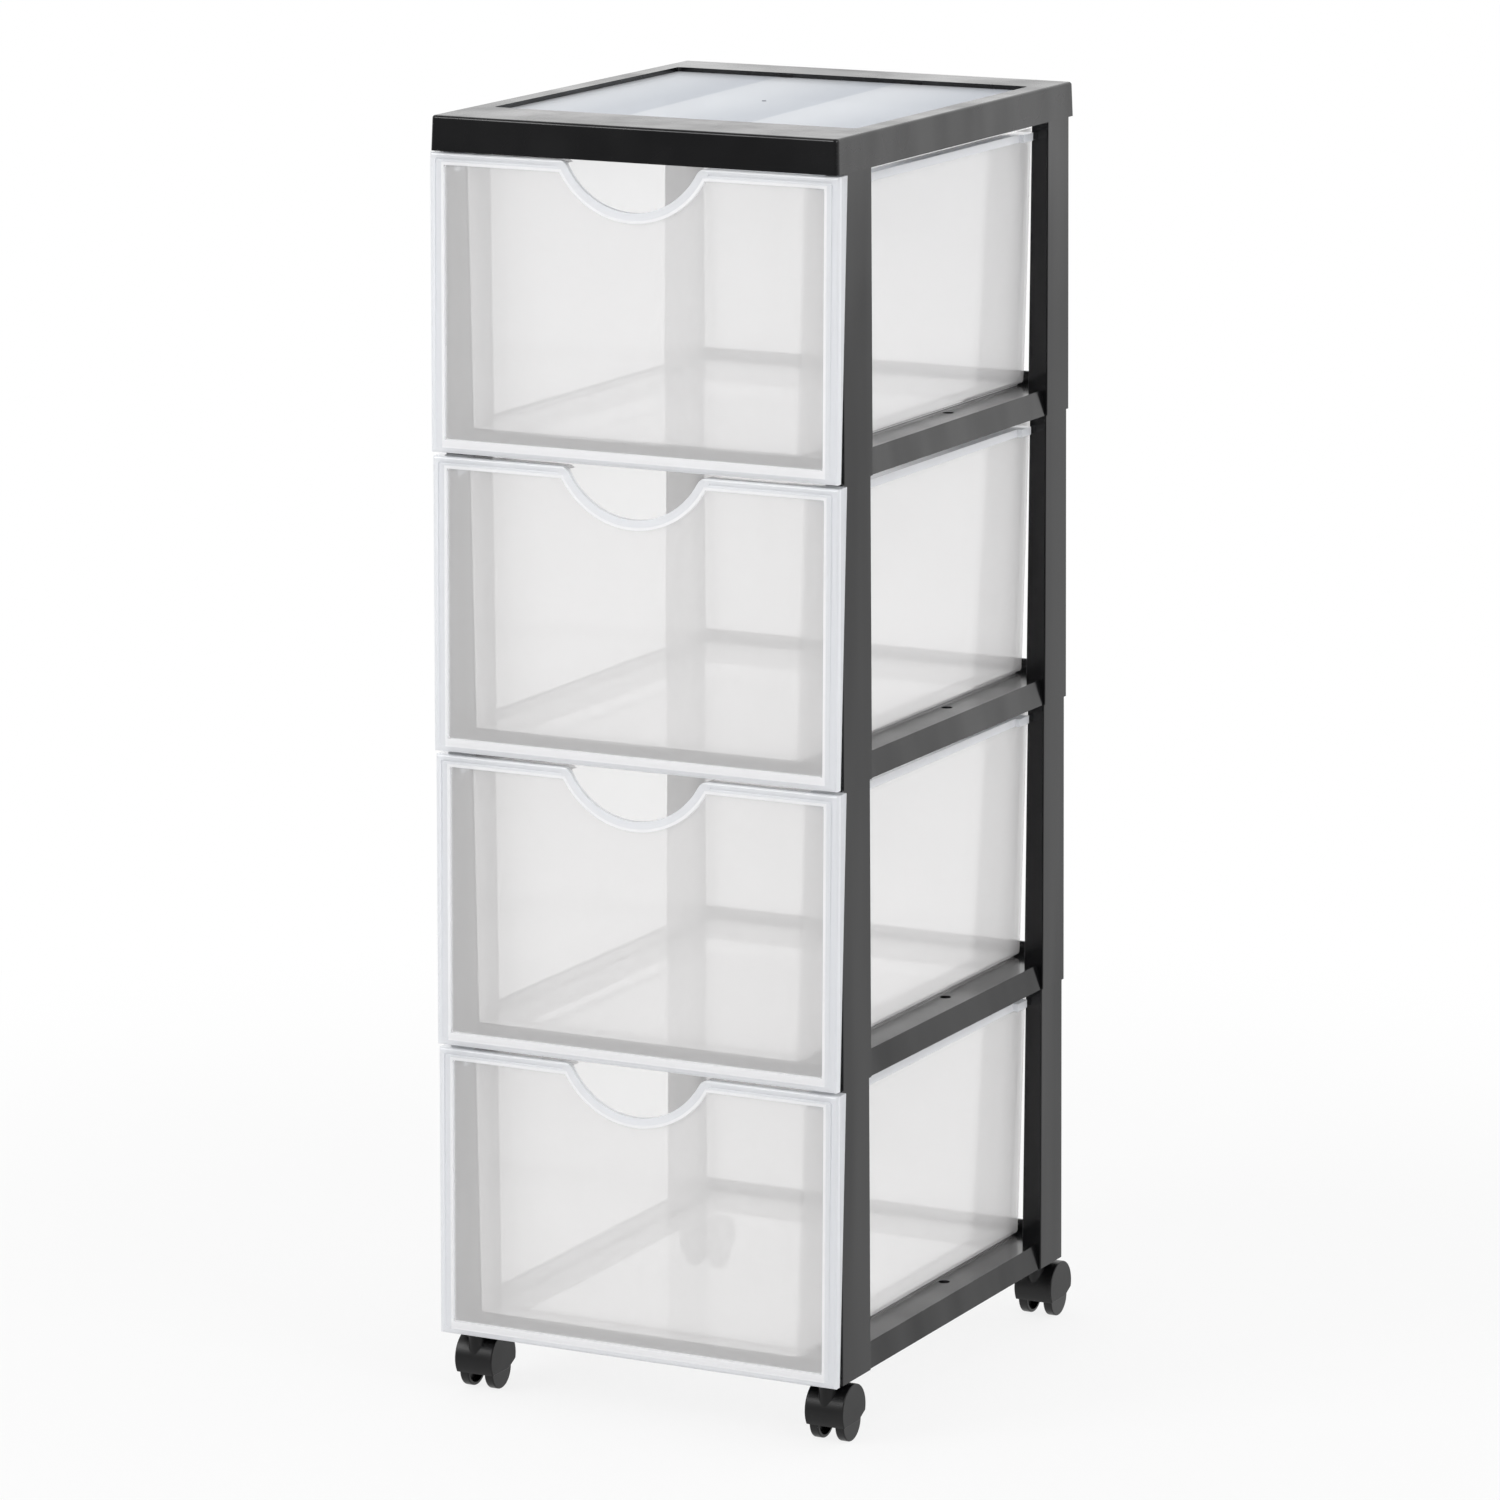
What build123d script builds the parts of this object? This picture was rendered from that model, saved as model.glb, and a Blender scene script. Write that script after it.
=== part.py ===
from build123d import *
import os
from math import atan2, cos, degrees, sin

# Stack of tiers. Lengths are in millimetres. X runs across, Y runs back, Z runs up.
tier_count = 4
tier_pitch = 203.8

# Top frame
cap_width = 300.0
cap_depth = 366.3
cap_height = 23.5
cap_flare = 0.8
cap_wall = 2.5
cap_edge_radius = 2.0
cap_corner_radius = 3.0
opening_side_margin = 15.0
opening_front_margin = 58.5
opening_rear_margin = 40.8
opening_wall = 2.2
opening_corner_radius = 3.0
panel_thickness = 2.5
panel_recess = 3.0
panel_clearance = 0.3
panel_ledge_reach = 5.0
gate_mark_radius = 1.4
gate_mark_height = 0.3
lug_width = 9.0
lug_reach = 1.2
lug_height = 1.6
lug_spacing = 100.0
lug_gap = 0.2

# Posts and rails of a tier frame
frame_side_inset = 0.8
front_setback = 12.3
rear_setback = 1.0
post_width = 14.7
front_post_depth = 43.2
rear_post_depth = 36.0
post_outer_draft = 1.2
post_inner_draft = 1.0
post_depth_draft = 0.8
post_wall = 2.2
post_edge_radius = 0.8
tenon_height = 11.0
tenon_clearance = 0.3
rail_height = 17.2
rail_wall = 2.2
rail_inset_low = 1.2
rail_inset_high = 4.4
ledge_drop = 1.0
ledge_wall = 2.2
ledge_reach = 31.8
ledge_rib_height = 9.0
ledge_rib_wall = 2.0
ledge_hole_radius = 3.9
ledge_hole_inset = 16.6
ledge_hole_setback = 219.0
front_rail_depth = 17.0
rear_rail_height = 24.3
rear_rail_depth = 16.0
rear_rail_setback = 1.2

# Drawer
front_overhang = 1.5
front_narrowing = 0.4
front_lower_gap = 1.7
front_upper_gap = 1.1
front_lean = 2.5
front_wall = 2.0
front_edge_radius = 1.6
flange_gap = 0.3
flange_depth_low = 6.5
border_side = 10.5
border_top = 8.0
border_bottom = 9.2
recess_depth = 1.4
recess_corner_radius = 2.5
groove_width = 1.6
groove_side = 3.8
groove_top = 3.2
groove_bottom = 4.2
groove_corner_radius = 2.4
groove_depth_top = 0.9
groove_depth_bottom = 0.2
notch_radius = 55.0
notch_depth = 32.0
notch_corner_radius = 8.0
notch_rim = 7.0
notch_rim_depth = 4.5
notch_rim_corner_radius = 5.0
body_wall = 1.8
body_draft = 4.2
body_rear_gap = 5.0
body_rear_draft = 1.5
cavity_corner_radius = 6.2
cavity_bottom_radius = 1.2
body_top_gap = 8.0
lip_reach = 8.6
lip_height = 5.5
lip_wall = 1.4
lip_side_gap = 0.6
lip_rear_gap = 2.9
stop_lug_length = 15.0
stop_lug_reach = 3.6
runner_height = 1.2
runner_width = 2.5
runner_gap = 0.3
runner_inset = 1.5

# Caster
hood_width = 28.8
hood_radius = 17.8
hood_rise = 8.5
hood_edge_drop = 1.0
hood_rear_edge_rise = 4.1
hood_cut_start = 7.5
hood_edge_radius = 0.8
hood_roof = 2.4
cheek_wall = 1.0
web_width = 11.8
axle_boss_wall = 2.5
hood_side_gap = 0.3
frame_gap = 2.0
trail = 9.2
pillar_width = 12.0
pillar_straight = 2.0
pillar_shift = 1.0
pillar_rise = 1.7
wheel_radius = 13.5
wheel_width = 6.5
wheel_edge_radius = 0.9
wheel_end_cover = 1.1
wheel_pocket_depth = 4.2
wheel_rim_wall = 2.2
wheel_hub_radius = 4.0
wheel_well_gap = 1.4
axle_radius = 2.0
axle_fit = 0.02
wheel_bore_clearance = 0.06
axle_end_gap = 0.4
stem_radius = 3.5
stem_clearance = 0.06
stem_foot_reach = 1.1
stem_foot_height = 2.6
stem_foot_gap = 0.3
stem_foot_floor = 2.0
collar_reach = 2.9
collar_gap = 0.2
socket_clearance = 0.55
socket_wall = 2.45
socket_depth = 14.0
socket_roof = 2.2
stem_top_gap = 1.0
ring_groove_depth = 0.5
ring_height = 4.0
ring_fit = 0.05
ring_slot = 1.5
ring_setback = 2.5

# Places that follow from the sizes above
hood_centre_height = wheel_radius + hood_rise
hood_lower_edge = wheel_radius - hood_edge_drop
hood_rear_edge = wheel_radius + hood_rear_edge_rise
hood_top = hood_centre_height + hood_radius + pillar_rise
underside_height = hood_top + frame_gap
stem_foot_radius = stem_radius + stem_foot_reach
collar_radius = stem_radius + collar_reach
socket_radius = stem_radius + socket_clearance
body_corner_radius = cavity_corner_radius + body_wall
body_bottom_radius = cavity_bottom_radius + body_wall
half_cap = cap_width / 2
post_outer_low = half_cap - frame_side_inset
post_outer_high = post_outer_low - post_outer_draft
post_inner_low = post_outer_low - post_width
post_inner_high = post_inner_low + post_inner_draft
front_post_face = front_setback
front_post_back = front_setback + front_post_depth
rear_post_back = cap_depth - rear_setback
rear_post_face = rear_post_back - rear_post_depth
ledge_top = rail_height - ledge_drop
ledge_inner = post_outer_low - rail_inset_low - ledge_reach - rail_wall
front_bottom = front_lower_gap
front_top = tier_pitch - front_upper_gap
front_height = front_top - front_bottom
half_front_top = half_cap + front_overhang
half_front_bottom = half_front_top - front_narrowing
flange_depth_top = front_setback - flange_gap
lean_angle = atan2(front_lean, front_height)
face_length = front_height / cos(lean_angle)
front_plate = recess_depth + front_wall
body_top = tier_pitch - body_top_gap
body_bottom = ledge_top + runner_gap + runner_height
lip_bottom = body_top - lip_height
lip_outer = post_inner_low + post_inner_draft * lip_bottom / tier_pitch - lip_side_gap
body_outer_high = lip_outer - lip_reach
body_outer_low = body_outer_high - body_draft
lip_rear = rear_post_face - lip_rear_gap
rear_rail_back = rear_post_back - rear_rail_setback
body_rear_high = rear_rail_back - rail_wall - body_rear_gap
body_rear_low = body_rear_high - body_rear_draft
caster_x = post_outer_low - hood_width / 2 - hood_side_gap
caster_front_y = front_setback + trail
caster_rear_y = rear_post_back - trail
wheel_offset = web_width / 2 + (hood_width / 2 - web_width / 2 - cheek_wall) / 2
total_front = -front_lean
total_rear = max(cap_depth + cap_flare, caster_rear_y + trail + hood_radius)
middle_y = (total_front + total_rear) / 2


def block(x0, x1, y0, y1, z0, z1):
    centre = Pos((x0 + x1) / 2, (y0 + y1) / 2, (z0 + z1) / 2)
    return centre * Box(x1 - x0, y1 - y0, z1 - z0)


def shrink(bounds, amount):
    x0, x1, y0, y1 = bounds
    return (x0 + amount, x1 - amount, y0 + amount, y1 - amount)


# A rectangle (x0, x1, y0, y1) lying at height z
def level_rectangle(bounds, z, radius=0.0):
    x0, x1, y0, y1 = bounds
    place = Pos((x0 + x1) / 2, (y0 + y1) / 2, z)
    if radius > 0:
        return place * RectangleRounded(x1 - x0, y1 - y0, radius)
    return place * Rectangle(x1 - x0, y1 - y0)


# A block whose sides lean between a low rectangle and a high one
def drafted(low, high, z0, z1, radius=0.0):
    return loft([level_rectangle(low, z0, radius), level_rectangle(high, z1, radius)], ruled=True)


# A cylinder that stands on z = 0
def upright_cylinder(radius, height):
    return Cylinder(radius, height, align=(Align.CENTER, Align.CENTER, Align.MIN))


def both_sides(shape):
    return shape + mirror(shape, about=Plane.YZ)


def upright_edges(shape, z0, z1):
    span = 0.8 * (z1 - z0)
    return shape.edges().filter_by(lambda e: e.bounding_box().size.Z > span)


# Footprints of the right-hand posts at their foot and at their head
def post_bounds(front):
    if front:
        low = (post_inner_low, post_outer_low, front_post_face, front_post_back)
        high = (post_inner_high, post_outer_high, front_post_face, front_post_back - post_depth_draft)
    else:
        low = (post_inner_low, post_outer_low, rear_post_face, rear_post_back)
        high = (post_inner_high, post_outer_high,
                rear_post_face + post_depth_draft, rear_post_back - post_depth_draft)
    return low, high


def post_solid(front):
    low, high = post_bounds(front)
    post = drafted(low, high, 0, tier_pitch)
    post = fillet(upright_edges(post, 0, tier_pitch), post_edge_radius)
    tenon_bounds = shrink(low, post_wall + tenon_clearance)
    x0, x1, y0, y1 = tenon_bounds
    return post + block(x0, x1, y0, y1, tier_pitch - post_wall, tier_pitch + tenon_height)


def post_cavity(front):
    low, high = post_bounds(front)
    return drafted(shrink(low, post_wall), shrink(high, post_wall), 0, tier_pitch - post_wall)


# The right-hand rail: a leaning web, a small lip on top and a ledge that carries the drawer
def side_rail():
    web_low = post_outer_low - rail_inset_low
    web_high = post_outer_low - rail_inset_high
    ledge_low = ledge_top - ledge_wall
    slope = (web_high - web_low) / rail_height
    points = [
        (web_low, 0),
        (web_high, rail_height),
        (web_high - rail_wall, rail_height),
        (web_high - rail_wall, ledge_top),
        (post_inner_high, ledge_top),
        (post_inner_high, ledge_low),
        (web_low + slope * ledge_low - rail_wall, ledge_low),
        (web_low - rail_wall, 0),
    ]
    overlap = post_wall / 2
    start = front_post_back - overlap
    length = rear_post_face + overlap - start
    profile = Plane((0, start, 0), x_dir=(1, 0, 0), z_dir=(0, 1, 0)) * make_face(
        Polyline([(x, -z) for x, z in points], close=True))
    web = extrude(profile, length)
    ledge_front = front_post_face + rail_wall / 2
    ledge_back = rear_rail_back - rail_wall / 2
    ledge = block(ledge_inner, post_inner_high, ledge_front, ledge_back, ledge_low, ledge_top)
    rib = block(ledge_inner, ledge_inner + ledge_rib_wall, ledge_front, ledge_back,
                ledge_top - ledge_rib_height, ledge_top)
    hole_x = post_outer_low - rail_inset_high - rail_wall - ledge_hole_inset
    hole = Pos(hole_x, ledge_hole_setback, ledge_low) * Cylinder(ledge_hole_radius, 4 * ledge_wall)
    return web + ledge + rib - hole


# The front and rear rails: each an upright web with a plate level with the ledges
def cross_rails():
    reach = post_inner_low + post_wall / 2
    plate_low = ledge_top - ledge_wall
    rib_low = ledge_top - ledge_rib_height
    front_inner = front_post_face + front_rail_depth
    rear_inner = rear_rail_back - rear_rail_depth
    front_web = block(-reach, reach, front_post_face, front_post_face + rail_wall, 0, ledge_top)
    front_plate_part = block(-reach, reach, front_post_face, front_inner, plate_low, ledge_top)
    front_rib = block(-ledge_inner, ledge_inner, front_inner - ledge_rib_wall, front_inner,
                      rib_low, ledge_top)
    rear_web = block(-reach, reach, rear_rail_back - rail_wall, rear_rail_back, 0, rear_rail_height)
    rear_plate_part = block(-reach, reach, rear_inner, rear_rail_back, plate_low, ledge_top)
    rear_rib = block(-ledge_inner, ledge_inner, rear_inner, rear_inner + ledge_rib_wall,
                     rib_low, ledge_top)
    return front_web + front_plate_part + front_rib + rear_web + rear_plate_part + rear_rib


def caster_places():
    return [
        ("front_left", -caster_x, caster_front_y),
        ("front_right", caster_x, caster_front_y),
        ("rear_left", -caster_x, caster_rear_y),
        ("rear_right", caster_x, caster_rear_y),
    ]


def tier_frame(has_sockets):
    posts = post_solid(True) + post_solid(False)
    frame = both_sides(posts + side_rail()) + cross_rails()
    frame -= both_sides(post_cavity(True) + post_cavity(False))
    if has_sockets:
        for _, x, y in caster_places():
            frame += Pos(x, y, 0) * upright_cylinder(socket_radius + socket_wall, socket_depth + socket_roof)
        for _, x, y in caster_places():
            frame -= Pos(x, y, 0) * upright_cylinder(socket_radius, socket_depth)
    return frame


def opening_bounds(margin):
    half = half_cap - opening_side_margin + margin
    return (-half, half, opening_front_margin - margin, cap_depth - opening_rear_margin + margin)


def prism(bounds, z0, z1, radius=0.0):
    return extrude(level_rectangle(bounds, z0, radius), z1 - z0)


# Built with its underside at z = 0
def top_frame():
    low = (-half_cap - cap_flare, half_cap + cap_flare, -cap_flare, cap_depth + cap_flare)
    high = (-half_cap, half_cap, 0, cap_depth)
    shell = drafted(low, high, 0, cap_height, cap_corner_radius)
    rim = shell.faces().sort_by(Axis.Z)[-1].edges()
    shell = fillet(rim, cap_edge_radius)
    shell -= drafted(shrink(low, cap_wall), shrink(high, cap_wall), 0, cap_height - cap_wall,
                     cap_corner_radius - cap_wall / 2)
    seat_height = cap_height - panel_recess - panel_thickness
    seat_low = seat_height - opening_wall
    inside_top = cap_height - cap_wall
    sockets = [post_bounds(front)[0] for front in (True, False)]
    for bounds in sockets:
        shell += both_sides(prism(bounds, 0, inside_top))
    shell += prism(opening_bounds(opening_wall), seat_low, inside_top, opening_corner_radius + opening_wall)
    shell -= prism(opening_bounds(0), seat_height, cap_height, opening_corner_radius)
    shell -= prism(opening_bounds(-panel_ledge_reach), 0, cap_height, opening_corner_radius)
    for bounds in sockets:
        shell -= both_sides(prism(shrink(bounds, post_wall), 0, inside_top))
    return shell + snap_lugs(seat_height + panel_thickness + lug_gap)


# Small wedges on the opening's front and rear walls that hold the panel down
def snap_lugs(height):
    _, _, front, rear = opening_bounds(0)
    root = opening_wall / 2
    profile = make_face(Polyline([(-root, 0), (lug_reach, 0), (0, lug_height), (-root, lug_height)],
                                 close=True))
    lugs = []
    for x in (-lug_spacing / 2, lug_spacing / 2):
        at_front = Plane((x - lug_width / 2, front, height), x_dir=(0, 1, 0), z_dir=(1, 0, 0))
        at_rear = Plane((x + lug_width / 2, rear, height), x_dir=(0, -1, 0), z_dir=(-1, 0, 0))
        lugs.append(extrude(at_front * profile, lug_width))
        lugs.append(extrude(at_rear * profile, lug_width))
    return lugs


def top_panel():
    top = cap_height - panel_recess
    bounds = opening_bounds(-panel_clearance)
    panel = prism(bounds, top - panel_thickness, top, opening_corner_radius - panel_clearance)
    middle = (bounds[2] + bounds[3]) / 2
    return panel + Pos(0, middle, top) * upright_cylinder(gate_mark_radius, gate_mark_height)


# The plane of the drawer's front face, with its origin at the middle of the lower edge
def front_plane(depth_low=0.0, depth_high=0.0):
    angle = lean_angle + atan2(depth_high - depth_low, front_height)
    origin = (0, -front_lean + depth_low, front_bottom)
    return Plane(origin, x_dir=(1, 0, 0), z_dir=(0, -cos(angle), sin(angle)))


def front_outline(side, top, bottom, radius=0.0):
    half = (half_front_top + half_front_bottom) / 2 - side
    height = face_length - top - bottom
    place = Pos(0, bottom + height / 2)
    if radius > 0:
        return place * RectangleRounded(2 * half, height, radius)
    return place * Rectangle(2 * half, height)


# Corners of a flat shape that lie on a level line near the notch
def corners_near_notch(shape, line):
    reach = 1.5 * notch_radius
    return [v for v in shape.vertices() if abs(v.Y - line) < 0.01 and abs(v.X) < reach]


def notch_circle(extra=0.0):
    return Pos(0, face_length + notch_radius - notch_depth) * Circle(notch_radius + extra)


# Finger notch as a flat shape on the front plane: an arc that runs out into the top edge
def notch_shape():
    above = Pos(0, face_length + notch_radius) * Rectangle(4 * notch_radius, 2 * notch_radius)
    shape = notch_circle() + above
    return fillet(corners_near_notch(shape, face_length), notch_corner_radius)


# The sunk middle of the front, with a raised rim left round the notch
def recess_shape():
    shape = front_outline(border_side, border_top, border_bottom, recess_corner_radius)
    shape = shape - notch_circle(notch_rim)
    return fillet(corners_near_notch(shape, face_length - border_top), notch_rim_corner_radius)


# A line round the border of the front that fades towards the bottom
def groove_shape():
    outer = front_outline(groove_side, groove_top, groove_bottom, groove_corner_radius)
    inner = front_outline(groove_side + groove_width, groove_top + groove_width,
                          groove_bottom + groove_width, groove_corner_radius - groove_width)
    return outer - inner - notch_circle(notch_rim)


# A leaning plate with a turned-back edge that is deeper at the top
def drawer_front():
    low = (-half_front_bottom, half_front_bottom, -front_lean, -front_lean + flange_depth_low)
    high = (-half_front_top, half_front_top, 0, flange_depth_top)
    outer = drafted(low, high, front_bottom, front_top)
    outer = fillet(outer.faces().sort_by(Axis.Y)[0].edges(), front_edge_radius)
    inside = front_outline(front_wall, front_wall, front_wall, front_wall)
    front = outer - extrude(front_plane(front_plate, front_plate) * inside, -2 * flange_depth_top)
    rim = extrude(front_plane() * offset(notch_shape(), front_wall), -notch_rim_depth)
    front += rim & outer
    front -= extrude(front_plane() * recess_shape(), -recess_depth)
    groove_floor = front_plane(groove_depth_bottom, groove_depth_top)
    return front - extrude(groove_floor * groove_shape(), 2 * groove_depth_top)


def notch_cutter():
    return extrude(front_plane() * notch_shape(), 2 * front_setback, both=True)


# Distance of the leaning front face from the cap's front, at height z
def face_y(z):
    return -front_lean + front_lean * (z - front_bottom) / front_height


# Plan of the body at height z, drawn in by an inset at the sides and back and starting
# a given depth behind the front face
def body_bounds(z, depth, inset):
    rise = (z - body_bottom) / (body_top - body_bottom)
    half = body_outer_low + rise * body_draft - inset
    rear = body_rear_low + rise * body_rear_draft - inset
    return (-half, half, face_y(z) + depth, rear)


# Everything further back than a given depth behind the front face
def behind_front(depth):
    slab = front_plane(depth, depth) * Rectangle(4 * half_cap, 4 * tier_pitch)
    return extrude(slab, -2 * cap_depth)


# The tapered tub: rounded corners at the back and below, square ones where it meets the front
def drawer_tub(z0, z1, depth, inset):
    start = depth - 2 * body_corner_radius
    tub = drafted(body_bounds(z0, start, inset), body_bounds(z1, start, inset), z0, z1,
                  body_corner_radius - inset)
    tub = fillet(tub.faces().sort_by(Axis.Z)[0].edges(), body_bottom_radius - inset)
    return tub & behind_front(depth)


def drawer_shell():
    return drawer_tub(body_bottom, body_top, recess_depth + front_wall / 2, 0)


def drawer_cavity():
    return drawer_tub(body_bottom + body_wall, body_top + body_top_gap / 2, front_plate, body_wall)


# The turned-down lip along the right-hand wall, which ends in a wider stop lug
def side_lip():
    start = face_y(body_top) + recess_depth + front_wall / 2
    lug_start = lip_rear - stop_lug_length
    lug_outer = lip_outer + stop_lug_reach
    lip_roof = body_top - lip_wall
    lip = block(body_outer_high - body_wall, lip_outer, start, lip_rear, lip_bottom, body_top)
    lip += block(body_outer_high - body_wall, lug_outer, lug_start, lip_rear, lip_bottom, body_top)
    lip -= block(0, lip_outer - lip_wall, start, lip_rear - lip_wall, lip_bottom, lip_roof)
    lip -= block(0, lug_outer - lip_wall, lug_start + lip_wall, lip_rear - lip_wall, lip_bottom, lip_roof)
    return lip


def runner():
    inner = ledge_inner + runner_inset
    return block(inner, inner + runner_width, front_setback, body_rear_low - body_corner_radius,
                 body_bottom - runner_height, body_bottom + body_wall / 2)


def drawer():
    solid = drawer_front() + drawer_shell() + both_sides(side_lip() + runner())
    return solid - drawer_cavity() - notch_cutter()


# A flat shape (y, z) swept across, from x0 to x1
def across(shape, x0, x1):
    return extrude(Plane((x0, 0, 0), x_dir=(0, 1, 0), z_dir=(1, 0, 0)) * shape, x1 - x0)


def axle_circle(radius):
    return Pos(trail, wheel_radius) * Circle(radius)


# Built about the stem, with the floor at z = 0 and the axle behind the stem
def caster_hood():
    circle = Pos(trail, hood_centre_height) * Circle(hood_radius)
    far = trail + hood_radius
    keep = make_face(Polyline([
        (-far, hood_lower_edge),
        (trail + hood_cut_start, hood_lower_edge),
        (far, hood_rear_edge),
        (far, 3 * hood_radius),
        (-far, 3 * hood_radius),
    ], close=True))
    half_web = web_width / 2
    hood = across(circle & keep, -hood_width / 2, hood_width / 2)
    sides = hood.faces().sort_by(Axis.X)
    hood = fillet(sides[0].edges() + sides[-1].edges(), hood_edge_radius)
    hood += across(axle_circle(axle_radius + axle_boss_wall), -half_web, half_web)
    stadium = Pos(0, -pillar_shift) * SlotCenterToCenter(pillar_straight, pillar_width, rotation=90)
    hood += extrude(Pos(0, 0, hood_centre_height) * stadium, hood_top - hood_centre_height)
    well = Pos(trail, hood_centre_height) * Circle(hood_radius - hood_roof)
    well = well + axle_circle(wheel_radius + wheel_well_gap)
    hood -= both_sides(across(well, half_web, hood_width / 2 - cheek_wall))
    hood -= across(axle_circle(axle_radius + axle_fit), -half_web, half_web)
    foot_floor = hood_lower_edge + stem_foot_floor
    foot_room = stem_foot_height + 2 * stem_foot_gap
    hood -= Pos(0, 0, foot_floor) * upright_cylinder(stem_foot_radius + stem_clearance, foot_room)
    return hood - Pos(0, 0, foot_floor) * upright_cylinder(stem_radius + stem_clearance, hood_top)


def caster_stem():
    foot = hood_lower_edge + stem_foot_floor + stem_foot_gap
    collar = hood_top + collar_gap
    top = underside_height + socket_depth - stem_top_gap
    ring_low = top - ring_setback - ring_height
    profile = make_face(Polyline([
        (0, foot),
        (stem_foot_radius, foot),
        (stem_foot_radius, foot + stem_foot_height),
        (stem_radius, foot + stem_foot_height),
        (stem_radius, collar),
        (collar_radius, collar),
        (collar_radius, underside_height),
        (stem_radius, underside_height),
        (stem_radius, ring_low),
        (stem_radius - ring_groove_depth, ring_low),
        (stem_radius - ring_groove_depth, ring_low + ring_height),
        (stem_radius, ring_low + ring_height),
        (stem_radius, top - ring_groove_depth),
        (stem_radius - ring_groove_depth, top),
        (0, top),
    ], close=True))
    return revolve(Plane.XZ * profile, Axis.Z)


# The split spring ring that grips the socket
def grip_ring():
    top = underside_height + socket_depth - stem_top_gap
    low = top - ring_setback - ring_height
    inner = stem_radius - ring_groove_depth + ring_fit
    outer = socket_radius - ring_fit
    height = ring_height - 2 * ring_fit
    ring = Circle(outer) - Circle(inner)
    ring -= Pos(0, -outer) * Rectangle(ring_slot, 2 * outer)
    return extrude(Pos(0, 0, low + ring_fit) * ring, height)


def caster_axle():
    reach = wheel_offset + wheel_width / 2 - wheel_end_cover - axle_end_gap
    return across(axle_circle(axle_radius), -reach, reach)


# The right-hand wheel of a caster, with a closed outer face and a blind bore
def right_wheel():
    inner_face = wheel_offset - wheel_width / 2
    outer_face = wheel_offset + wheel_width / 2
    wheel = across(axle_circle(wheel_radius), inner_face, outer_face)
    wheel = fillet(wheel.edges().filter_by(GeomType.CIRCLE), wheel_edge_radius)
    pocket = axle_circle(wheel_radius - wheel_rim_wall) - axle_circle(wheel_hub_radius)
    wheel -= across(pocket, inner_face, inner_face + wheel_pocket_depth)
    bore = axle_circle(axle_radius + wheel_bore_clearance)
    return wheel - across(bore, inner_face, outer_face - wheel_end_cover)


def save(name, shape):
    solids = shape.solids()
    part = solids[0] if len(solids) == 1 else Compound(solids)
    export_step(Pos(0, -middle_y, 0) * part, f"parts/{name}.step")


def main():
    os.makedirs("parts", exist_ok=True)
    stack_top = underside_height + tier_count * tier_pitch
    save("top_frame", Pos(0, 0, stack_top) * top_frame())
    save("top_panel", Pos(0, 0, stack_top) * top_panel())
    plain_frame = tier_frame(False)
    base_frame = tier_frame(True)
    one_drawer = drawer()
    for level in range(1, tier_count + 1):
        seam = underside_height + (tier_count - level) * tier_pitch
        frame = base_frame if level == tier_count else plain_frame
        save(f"tier_frame_{level}", Pos(0, 0, seam) * frame)
        save(f"drawer_{level}", Pos(0, 0, seam) * one_drawer)
    pieces = {
        "hood": caster_hood(),
        "stem": caster_stem(),
        "grip_ring": grip_ring(),
        "axle": caster_axle(),
        "right_wheel": right_wheel(),
        "left_wheel": mirror(right_wheel(), about=Plane.YZ),
    }
    for corner, x, y in caster_places():
        for piece, shape in pieces.items():
            save(f"{corner}_{piece}", Pos(x, y, 0) * shape)


main()
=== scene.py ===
import bmesh
import bpy
from math import cos, radians, sin
from mathutils import Matrix, Vector


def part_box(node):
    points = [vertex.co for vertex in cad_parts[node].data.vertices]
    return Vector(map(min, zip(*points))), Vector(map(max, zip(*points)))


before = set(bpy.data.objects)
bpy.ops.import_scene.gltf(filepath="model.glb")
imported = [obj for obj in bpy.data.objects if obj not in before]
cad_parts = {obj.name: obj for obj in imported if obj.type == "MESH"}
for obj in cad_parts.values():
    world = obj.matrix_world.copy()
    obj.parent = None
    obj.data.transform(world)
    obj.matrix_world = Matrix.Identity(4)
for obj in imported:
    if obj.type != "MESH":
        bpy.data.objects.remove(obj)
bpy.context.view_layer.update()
print("frame loaded")


# Material helpers. A wire is one value inside a material, and takes part in plain sums
class Wire:
    def __init__(self, sheet, socket):
        self.sheet = sheet
        self.socket = socket

    def maths(self, operation, *others):
        return self.sheet.add("ShaderNodeMath", {"operation": operation}, self, *others)

    def __add__(self, other):
        return self.maths("ADD", other)

    def __sub__(self, other):
        return self.maths("SUBTRACT", other)

    def __mul__(self, other):
        return self.maths("MULTIPLY", other)

    def __truediv__(self, other):
        return self.maths("DIVIDE", other)

    def __rsub__(self, other):
        return self.sheet.add("ShaderNodeMath", {"operation": "SUBTRACT"}, other, self)

    __radd__ = __add__
    __rmul__ = __mul__

    def output(self, name):
        return Wire(self.sheet, self.socket.node.outputs[name])

    def step(self, low, high):  # 0 below low, 1 above high, smooth between them
        return self.sheet.add("ShaderNodeMapRange", {"interpolation_type": "SMOOTHSTEP"},
                              {"Value": self, "From Min": low, "From Max": high})

    def past(self, edge, blur):  # 0 before the edge, 1 past it
        return self.step(edge - blur, edge + blur)


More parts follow.
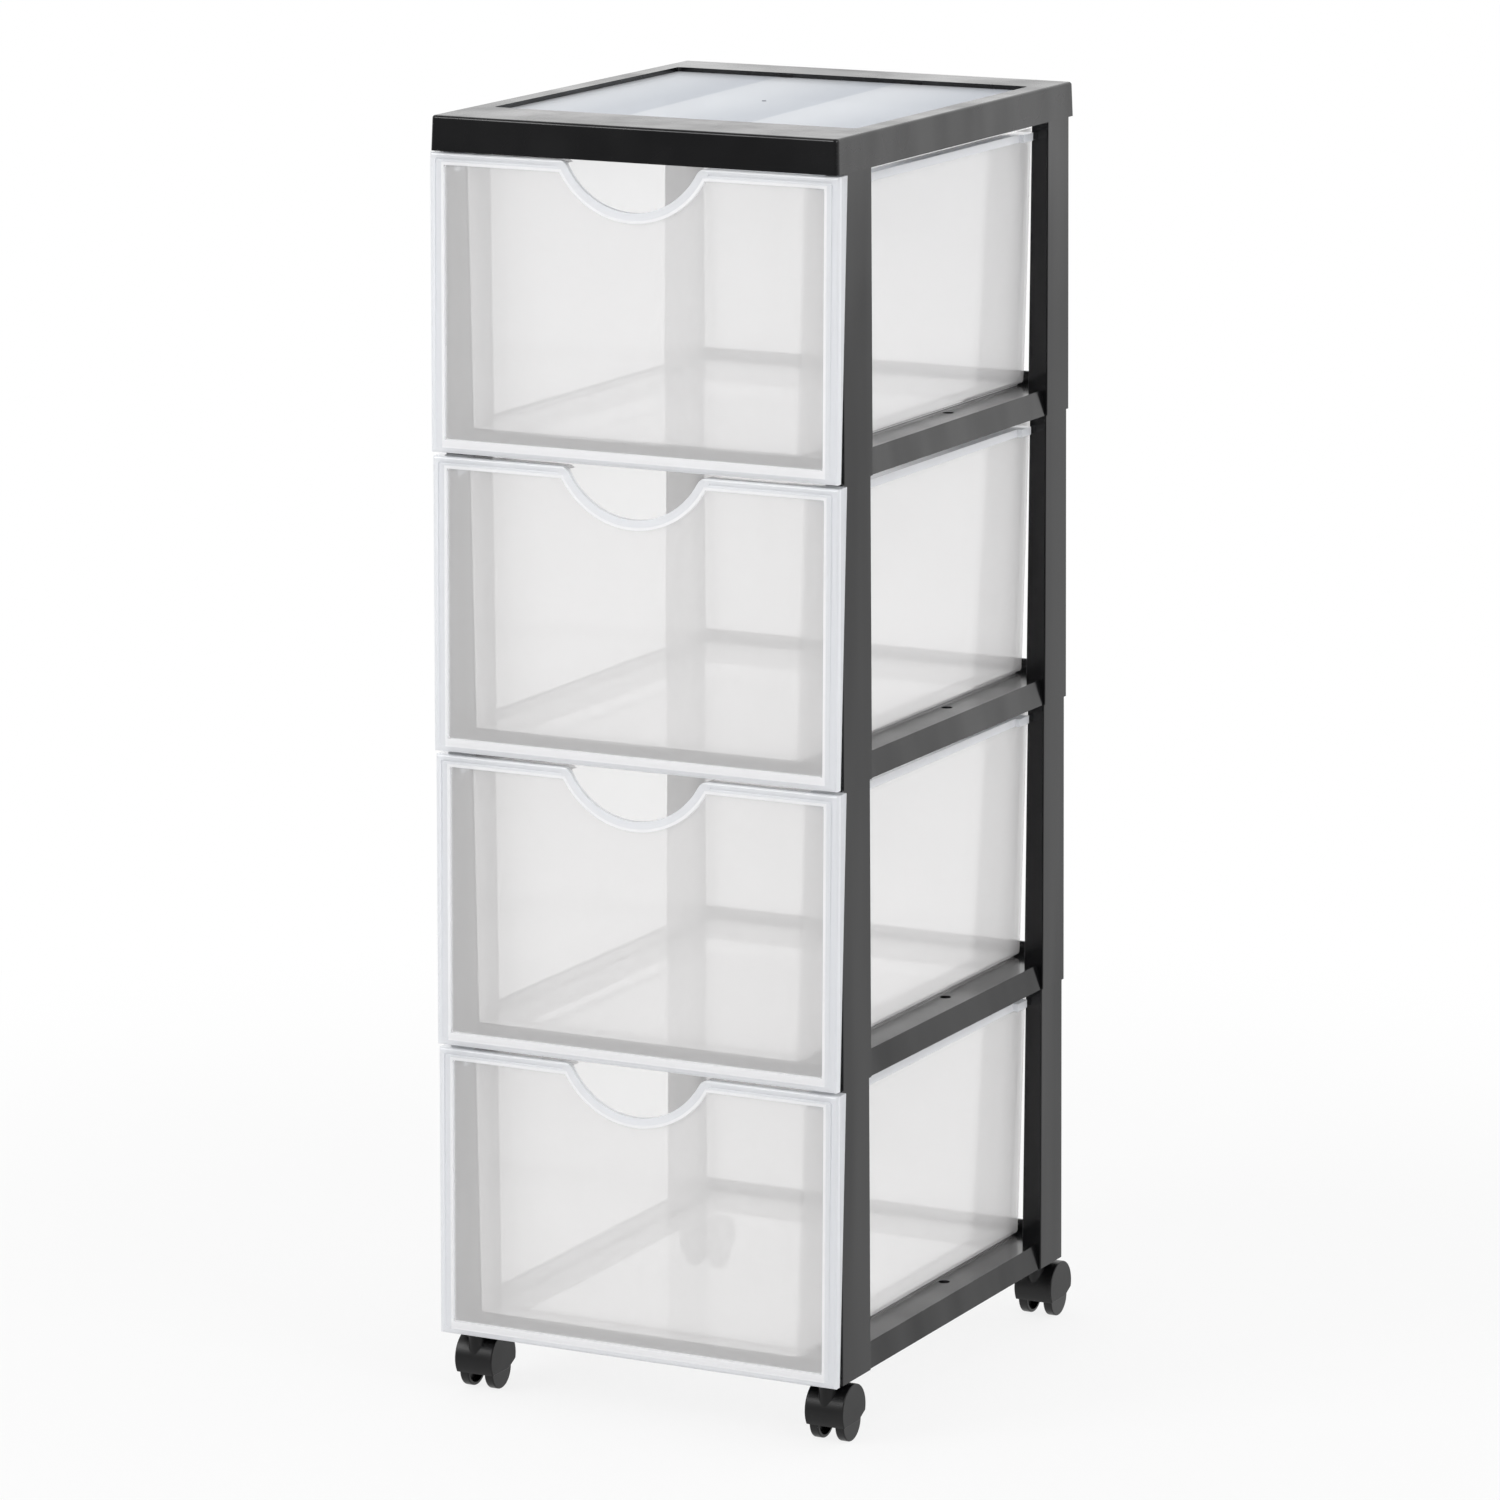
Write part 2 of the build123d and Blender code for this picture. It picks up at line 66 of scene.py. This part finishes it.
class Sheet:
    def __init__(self, tree):
        self.tree = tree
        tree.nodes.clear()

    def add(self, kind, settings, *values):
        node = self.tree.nodes.new(kind)
        for key, value in settings.items():
            setattr(node, key, value)
        pairs = []
        for index, value in enumerate(values):
            if isinstance(value, dict):
                pairs += list(value.items())
            else:
                pairs.append((index, value))
        for key, value in pairs:
            socket = node.inputs[key]
            if isinstance(value, Wire):
                self.tree.links.new(value.socket, socket)
            else:
                socket.default_value = value
        return Wire(self, next(o for o in node.outputs if o.enabled)) if node.outputs else None

    def place(self):  # a point of the object, in metres
        return self.add("ShaderNodeTexCoord", {}).output("Object")

    def parts(self, vector):
        split = self.add("ShaderNodeSeparateXYZ", {}, vector)
        return split.output("X"), split.output("Y"), split.output("Z")

    def noise(self, scale, detail=2.0, roughness=0.5, stretch=(1, 1, 1)):
        point = self.add("ShaderNodeMapping", {}, {"Vector": self.place(), "Scale": stretch})
        return self.add("ShaderNodeTexNoise", {}, {"Vector": point, "Scale": scale, "Detail": detail,
                                                   "Roughness": roughness})

    def blend(self, factor, low, high):  # two colours
        return self.add("ShaderNodeMix", {"data_type": "RGBA"},
                        {"Factor": factor, 6: low, 7: high}).output(2)

    def bump(self, height, strength, distance, *over):  # over is a finer bump that this one lies on
        values = {"Height": height, "Strength": strength, "Distance": distance}
        if over:
            values["Normal"] = over[0]
        return self.add("ShaderNodeBump", {}, values)


def between(low, high, share):  # low at share 0, high at share 1
    return low + (high - low) * share


def newMaterial(name):
    material = bpy.data.materials.new(name)
    material.use_nodes = True
    return material, Sheet(material.node_tree)


def finish(sheet, surface):
    sheet.add("ShaderNodeOutputMaterial", {}, {"Surface": surface})


def plastic(sheet, sockets):
    return sheet.add("ShaderNodeBsdfPrincipled", {}, sockets)


grazingPower = 5.0  # how late a skin turns to a mirror as it is seen more and more edge on


# Shaders of one kind: the ground's colour, and over it each patch's colour where its mask is 1
def patched(sheet, kind, colours, normal):
    ground, *patches = colours
    layer = sheet.add(kind, {}, {"Color": ground, "Normal": normal})
    for mask, colour in patches:
        patch = sheet.add(kind, {}, {"Color": colour, "Normal": normal})
        layer = sheet.add("ShaderNodeMixShader", {}, mask, layer, patch)
    return layer


# A see-through skin: some light goes straight on, some is scattered forward and back, and some is mirrored
def milkySkin(sheet, colours, cover, through, shine, normal, headOn, mirrorScale=1.0, glare=(1, 1, 1, 1)):
    facing = sheet.add("ShaderNodeLayerWeight", {}, {"Blend": 0.5, "Normal": normal}).output("Facing")
    mirror = between(headOn, 1, facing.maths("POWER", grazingPower))
    front = patched(sheet, "ShaderNodeBsdfDiffuse", colours, normal)
    back = patched(sheet, "ShaderNodeBsdfTranslucent", colours, normal)
    milk = sheet.add("ShaderNodeMixShader", {}, through, front, back)
    clear = sheet.add("ShaderNodeBsdfTransparent", {})
    film = sheet.add("ShaderNodeMixShader", {}, cover, clear, milk)
    gloss = sheet.add("ShaderNodeBsdfGlossy", {}, {"Color": glare, "Roughness": shine, "Normal": normal})
    return sheet.add("ShaderNodeMixShader", {}, mirror * mirrorScale, film, gloss)


def dress(nodes, material):
    for node in nodes:
        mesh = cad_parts[node].data
        mesh.materials.clear()
        mesh.materials.append(material)


nodeNames = sorted(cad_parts)


# Glossy black tier frames and the satin cap on top, with faint flow marks from the mould
blackPlastic = {
    "dark": (0.0030, 0.0030, 0.0034, 1),
    "light": (0.0060, 0.0060, 0.0068, 1),
    "ior": 1.36,
    "cloudScale": 14.0,
    "cloudDetail": 3.0,
    "cloudRoughness": 0.55,
    "cloudRange": (0.3, 0.75),
    "smooth": 0.13,
    "dull": 0.24,
    "flowScale": 22.0,
    "flowStretch": (1, 1, 0.12),
    "flowRange": (0.3, 0.7),
    "flowStrength": 0.5,
    "flowHeight": 0.0003,
    "flowShine": 0.22,
    "flowRoughness": 0.12,
    "grainScale": 1400.0,
    "grainDetail": 1.0,
    "grainStrength": 0.6,
    "grainHeight": 0.00001,
}
capPlastic = {**blackPlastic, "smooth": 0.20, "dull": 0.32, "flowHeight": 0.0002}


def blackMaterial(name, settings):
    material, sheet = newMaterial(name)
    clouds = sheet.noise(settings["cloudScale"], settings["cloudDetail"], settings["cloudRoughness"])
    flow = sheet.noise(settings["flowScale"], stretch=settings["flowStretch"])
    grain = sheet.noise(settings["grainScale"], settings["grainDetail"])
    fine = sheet.bump(grain, settings["grainStrength"], settings["grainHeight"])
    finish(sheet, plastic(sheet, {
        "Base Color": sheet.blend(clouds, settings["dark"], settings["light"]),
        "Roughness": between(settings["smooth"], settings["dull"], clouds.step(*settings["cloudRange"])),
        "IOR": settings["ior"],
        "Coat Weight": settings["flowShine"] * flow.step(*settings["flowRange"]),
        "Coat Roughness": settings["flowRoughness"],
        "Normal": sheet.bump(flow, settings["flowStrength"], settings["flowHeight"], fine),
    }))
    return material


dress([n for n in nodeNames if n.startswith("tier_frame")], blackMaterial("glossyBlackFrame", blackPlastic))
dress(["top_frame"], blackMaterial("satinBlackCap", capPlastic))
print("frame dressed")


# Milky top panel, in three bands of painted light and shade that fade from pale to grey and weaken its
# mirror, with the mould's small dark mark in its middle
panelPlastic = {
    "pale": (0.74, 0.755, 0.78, 1),
    "grey": (0.60, 0.625, 0.67, 1),
    # width, start, skew and fade of the painted light and shade bands
    "paintedBandWidth": 0.091,
    "paintedBandStart": -0.0496,
    "paintedBandSkew": 0.045,
    "paintedBandFade": (0.1, 1.0),
    "cloudScale": 6.0,
    "cloudShare": 0.15,
    "grainScale": 900.0,
    "grainStrength": 0.5,
    "grainHeight": 0.00001,
    "markRadius": 0.0018,
    "markBlur": 0.0003,
    "markColour": (0.16, 0.16, 0.19, 1),
    "cover": 0.82,
    "through": 0.4,
    "shine": 0.22,
    "headOn": 0.02,
    # mirror strength at the pale and at the grey end of each painted light stripe, a painted reflection
    "paleBandMirror": 0.44,
    "shadedBandMirror": 0.30,
    "glare": (0.94, 0.97, 1.0, 1),
}


def panelMaterial(settings):
    low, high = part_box("top_panel")
    material, sheet = newMaterial("milkyPanel")
    x, y, _ = sheet.parts(sheet.place())
    # painted light: a sawtooth of bands across the panel, pale to grey, standing in for reflected studio
    # lights and their shade
    paintedLightBand = ((x + settings["paintedBandSkew"] * y - settings["paintedBandStart"]) / settings["paintedBandWidth"]).maths("FRACT")
    clouds = sheet.noise(settings["cloudScale"])
    shade = between(paintedLightBand.step(*settings["paintedBandFade"]), clouds, settings["cloudShare"])
    fromMiddle = y - (low.y + high.y) / 2
    fromMark = (x * x + fromMiddle * fromMiddle).maths("SQRT")
    mark = 1 - fromMark.past(settings["markRadius"], settings["markBlur"])
    colours = [settings["pale"], (shade, settings["grey"]), (mark, settings["markColour"])]
    cover = between(settings["cover"], 1, mark)
    grain = sheet.noise(settings["grainScale"])
    fine = sheet.bump(grain, settings["grainStrength"], settings["grainHeight"])
    # painted reflection: the painted bands also weaken the mirror where they turn grey
    mirrorScale = between(settings["paleBandMirror"], settings["shadedBandMirror"], shade)
    finish(sheet, milkySkin(sheet, colours, cover, settings["through"], settings["shine"], fine,
                            settings["headOn"], mirrorScale, settings["glare"]))
    return material


dress(["top_panel"], panelMaterial(panelPlastic))
print("panel dressed")


# Translucent drawers. The lips and the front's border and notch rim are denser, and a white line of painted
# highlight runs along the border's inner edge, standing in for light caught on a rounded edge
clearPlastic = {
    "wallColour": (0.98, 0.973, 0.973, 1),
    "rimColour": (0.911, 0.923, 0.946, 1),
    # colour of the painted highlight along the border's inner edge
    "edgeHighlightColour": (0.99, 0.99, 1.0, 1),
    "wallCover": 0.36,
    "frontCover": 0.40,
    "rimCover": 0.78,
    # cover of the painted highlight
    "edgeHighlightCover": 0.93,
    "wallThrough": 0.55,
    "frontThrough": 0.40,
    "wallShine": 0.08,
    "frontShine": 0.28,
    "headOn": 0.04,
    "frontDepth": 0.0064,
    "sideBorder": 0.0109,
    "footBorder": 0.0092,
    "headBorder": 0.0080,
    "notchRim": 0.0620,
    "notchCentreRise": 0.023,
    # widths of the painted highlight, at the sides and head and at the foot
    "edgeHighlightWidth": 0.0020,
    "footHighlightWidth": 0.0055,
    "lipStart": 0.1271,
    "blur": 0.0004,
    "waveScale": 11.0,
    "waveStrength": 0.3,
    "waveHeight": 0.0004,
    "grainScale": 700.0,
    "grainStrength": 0.4,
    "grainHeight": 0.00001,
}


def drawerMaterial(node, settings):
    low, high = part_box(node)
    blur = settings["blur"]
    material, sheet = newMaterial("clear_" + node)
    x, y, z = sheet.parts(sheet.place())
    across = x.maths("ABSOLUTE")
    inFront = 1 - y.past(low.y + settings["frontDepth"], blur)
    notchHeight = z - (high.z + settings["notchCentreRise"])
    fromNotch = (x * x + notchHeight * notchHeight).maths("SQRT")
    side = across - (high.x - settings["sideBorder"])
    foot = (low.z + settings["footBorder"]) - z
    head = z - (high.z - settings["headBorder"])
    rim = settings["notchRim"] - fromNotch
    depth = side.maths("MAXIMUM", head).maths("MAXIMUM", rim)  # into the border, but for its foot
    border = depth.maths("MAXIMUM", foot).past(0, blur) * inFront
    beyond = depth.past(settings["edgeHighlightWidth"], blur)
    below = foot.past(settings["footHighlightWidth"], blur)
    # painted highlight: a thin white strip inside the border's inner edge, standing in for light on a rounded
    # edge
    edge = border * (1 - beyond) * (1 - below)
    lip = across.past(settings["lipStart"], blur) * (1 - inFront)
    solid = border.maths("MAXIMUM", lip)
    wall = between(settings["wallCover"], settings["frontCover"], inFront)
    cover = between(wall, settings["rimCover"], solid) + (settings["edgeHighlightCover"] - settings["rimCover"]) * edge
    through = between(settings["wallThrough"], settings["frontThrough"], inFront)
    shine = between(settings["wallShine"], settings["frontShine"], inFront)
    colours = [settings["wallColour"], (solid, settings["rimColour"]), (edge, settings["edgeHighlightColour"])]
    grain = sheet.noise(settings["grainScale"])
    fine = sheet.bump(grain, settings["grainStrength"], settings["grainHeight"])
    waves = sheet.noise(settings["waveScale"])
    wavy = sheet.bump(waves, settings["waveStrength"], settings["waveHeight"], fine)
    finish(sheet, milkySkin(sheet, colours, cover, through, shine, wavy, settings["headOn"]))
    return material


for node in nodeNames:
    if node.startswith("drawer"):
        dress([node], drawerMaterial(node, clearPlastic))
print("drawers dressed")


# Satin black casters on zinc-plated steel
hoodPlastic = {
    "dark": (0.0022, 0.0022, 0.0025, 1),
    "light": (0.0052, 0.0052, 0.0058, 1),
    "ior": 1.45,
    "cloudScale": 60.0,
    "cloudDetail": 3.0,
    "smooth": 0.34,
    "wear": 0.12,
    "grainScale": 1600.0,
    "grainStrength": 0.7,
    "grainHeight": 0.00003,
}
wheelPlastic = {**hoodPlastic, "smooth": 0.24}
zincPlating = {
    "dark": (0.42, 0.42, 0.43, 1),
    "light": (0.62, 0.61, 0.58, 1),
    "cloudScale": 120.0,
    "cloudDetail": 3.0,
    "smooth": 0.25,
    "wear": 0.20,
}


def casterMaterial(name, settings):
    material, sheet = newMaterial(name)
    clouds = sheet.noise(settings["cloudScale"], settings["cloudDetail"])
    grain = sheet.noise(settings["grainScale"])
    finish(sheet, plastic(sheet, {
        "Base Color": sheet.blend(clouds, settings["dark"], settings["light"]),
        "Roughness": settings["smooth"] + settings["wear"] * clouds,
        "IOR": settings["ior"],
        "Normal": sheet.bump(grain, settings["grainStrength"], settings["grainHeight"]),
    }))
    return material


def steelMaterial(settings):
    material, sheet = newMaterial("zincSteel")
    clouds = sheet.noise(settings["cloudScale"], settings["cloudDetail"])
    finish(sheet, plastic(sheet, {
        "Base Color": sheet.blend(clouds, settings["dark"], settings["light"]),
        "Roughness": settings["smooth"] + settings["wear"] * clouds,
        "Metallic": 1.0,
    }))
    return material


dress([n for n in nodeNames if n.endswith("hood")], casterMaterial("satinHood", hoodPlastic))
dress([n for n in nodeNames if n.endswith("wheel")], casterMaterial("casterWheel", wheelPlastic))
dress([n for n in nodeNames if n.endswith(("stem", "ring", "axle"))], steelMaterial(zincPlating))
print("casters dressed")


# Pale floor. The camera sees it white with a soft shadow, and gloss sees it dark in front and light behind
floorLook = {
    "size": 6.0,
    "colour": (0.68, 0.68, 0.68, 1),
    "shadowShare": 0.16,
    "shadowFade": (0.5, 1.3),
    "mirroredFront": 0.12,
    "mirroredBehind": 0.80,
    "mirroredFade": (-1.4, 0.2),
}
white = (1, 1, 1, 1)


def seenStraight(rays):  # 1 for what the camera sees, also through the clear plastic
    return rays.output("Is Camera Ray").maths("MAXIMUM", rays.output("Is Transmission Ray"))


def addFloor(settings):
    mesh = bpy.data.meshes.new("floor")
    shape = bmesh.new()
    bmesh.ops.create_grid(shape, x_segments=1, y_segments=1, size=settings["size"])
    shape.to_mesh(mesh)
    shape.free()
    floor = bpy.data.objects.new("floor", mesh)
    bpy.context.scene.collection.objects.link(floor)
    material, sheet = newMaterial("paleFloor")
    mesh.materials.append(material)
    x, y, _ = sheet.parts(sheet.place())
    away = (x * x + y * y).maths("SQRT").step(*settings["shadowFade"])
    rays = sheet.add("ShaderNodeLightPath", {})
    direct = seenStraight(rays)
    glossy = rays.output("Is Glossy Ray")
    behind = y.step(*settings["mirroredFade"])
    strength = direct + glossy * between(settings["mirroredFront"], settings["mirroredBehind"], behind)
    plain = sheet.add("ShaderNodeBsdfDiffuse", {}, {"Color": settings["colour"]})
    bright = sheet.add("ShaderNodeEmission", {}, {"Color": white, "Strength": strength})
    factor = direct * between(1 - settings["shadowShare"], 1, away) + glossy
    finish(sheet, sheet.add("ShaderNodeMixShader", {}, factor, plain, bright))


# Studio all round: white to the camera, and lighter behind the cart than in front of it
studio = {
    "lightFront": 0.6,
    "lightBehind": 1.15,
    "mirroredFront": 0.3,
    "mirroredBehind": 1.23,
    "fade": (-0.35, 0.35),
}


def addWorld(settings):
    world = bpy.data.worlds.new("studio")
    bpy.context.scene.world = world
    world.use_nodes = True
    sheet = Sheet(world.node_tree)
    _, y, _ = sheet.parts(sheet.add("ShaderNodeTexCoord", {}).output("Generated"))
    rays = sheet.add("ShaderNodeLightPath", {})
    direct = seenStraight(rays)
    behind = y.step(*settings["fade"])
    light = between(settings["lightFront"], settings["lightBehind"], behind)
    mirrored = between(settings["mirroredFront"], settings["mirroredBehind"], behind)
    strength = between(between(light, mirrored, rays.output("Is Glossy Ray")), 1, direct)
    background = sheet.add("ShaderNodeBackground", {}, {"Color": white, "Strength": strength})
    sheet.add("ShaderNodeOutputWorld", {}, {"Surface": background})


lamps = {
    "key": {"place": (-1.9, -2.9, 2.5), "size": 1.6, "power": 66},
    "fill": {"place": (2.8, -1.2, 1.9), "size": 1.4, "power": 34},
}
lampAim = Vector((0, 0, 0.45))


def addLamp(name, settings):
    light = bpy.data.lights.new(name, "AREA")
    light.energy = settings["power"]
    light.size = settings["size"]
    lamp = bpy.data.objects.new(name, light)
    lamp.location = settings["place"]
    lamp.rotation_euler = (lampAim - lamp.location).to_track_quat("-Z", "Y").to_euler()
    bpy.context.scene.collection.objects.link(lamp)


view = {
    "azimuth": 26.98,
    "elevation": 11.87,
    "roll": -0.07,
    "place": (2.1625, -4.2683, 1.4368),
    "lens": 170.32,
    "sensor": 36,
}


def addCamera(settings):
    turn, rise, roll = (radians(settings[key]) for key in ("azimuth", "elevation", "roll"))
    back = Vector((sin(turn) * cos(rise), -cos(turn) * cos(rise), sin(rise)))
    right = Vector((cos(turn), sin(turn), 0))
    up = back.cross(right)
    rolledRight = cos(roll) * right + sin(roll) * up
    rolledUp = cos(roll) * up - sin(roll) * right
    place = Matrix((rolledRight, rolledUp, back)).transposed().to_4x4()
    place.translation = settings["place"]
    lens = bpy.data.cameras.new("camera")
    lens.sensor_width = settings["sensor"]
    lens.lens = settings["lens"]
    camera = bpy.data.objects.new("camera", lens)
    camera.matrix_world = place
    bpy.context.scene.collection.objects.link(camera)
    bpy.context.scene.camera = camera


# A ray through the cart meets many thin walls, and light bounces many times between them
lightPaths = {"transparent_max_bounces": 40, "diffuse_bounces": 8, "max_bounces": 16}

addFloor(floorLook)
addWorld(studio)
for name, settings in lamps.items():
    addLamp(name, settings)
addCamera(view)
bpy.context.scene.view_settings.view_transform = "Standard"
for name, bounces in lightPaths.items():
    setattr(bpy.context.scene.cycles, name, bounces)
print("studio ready")
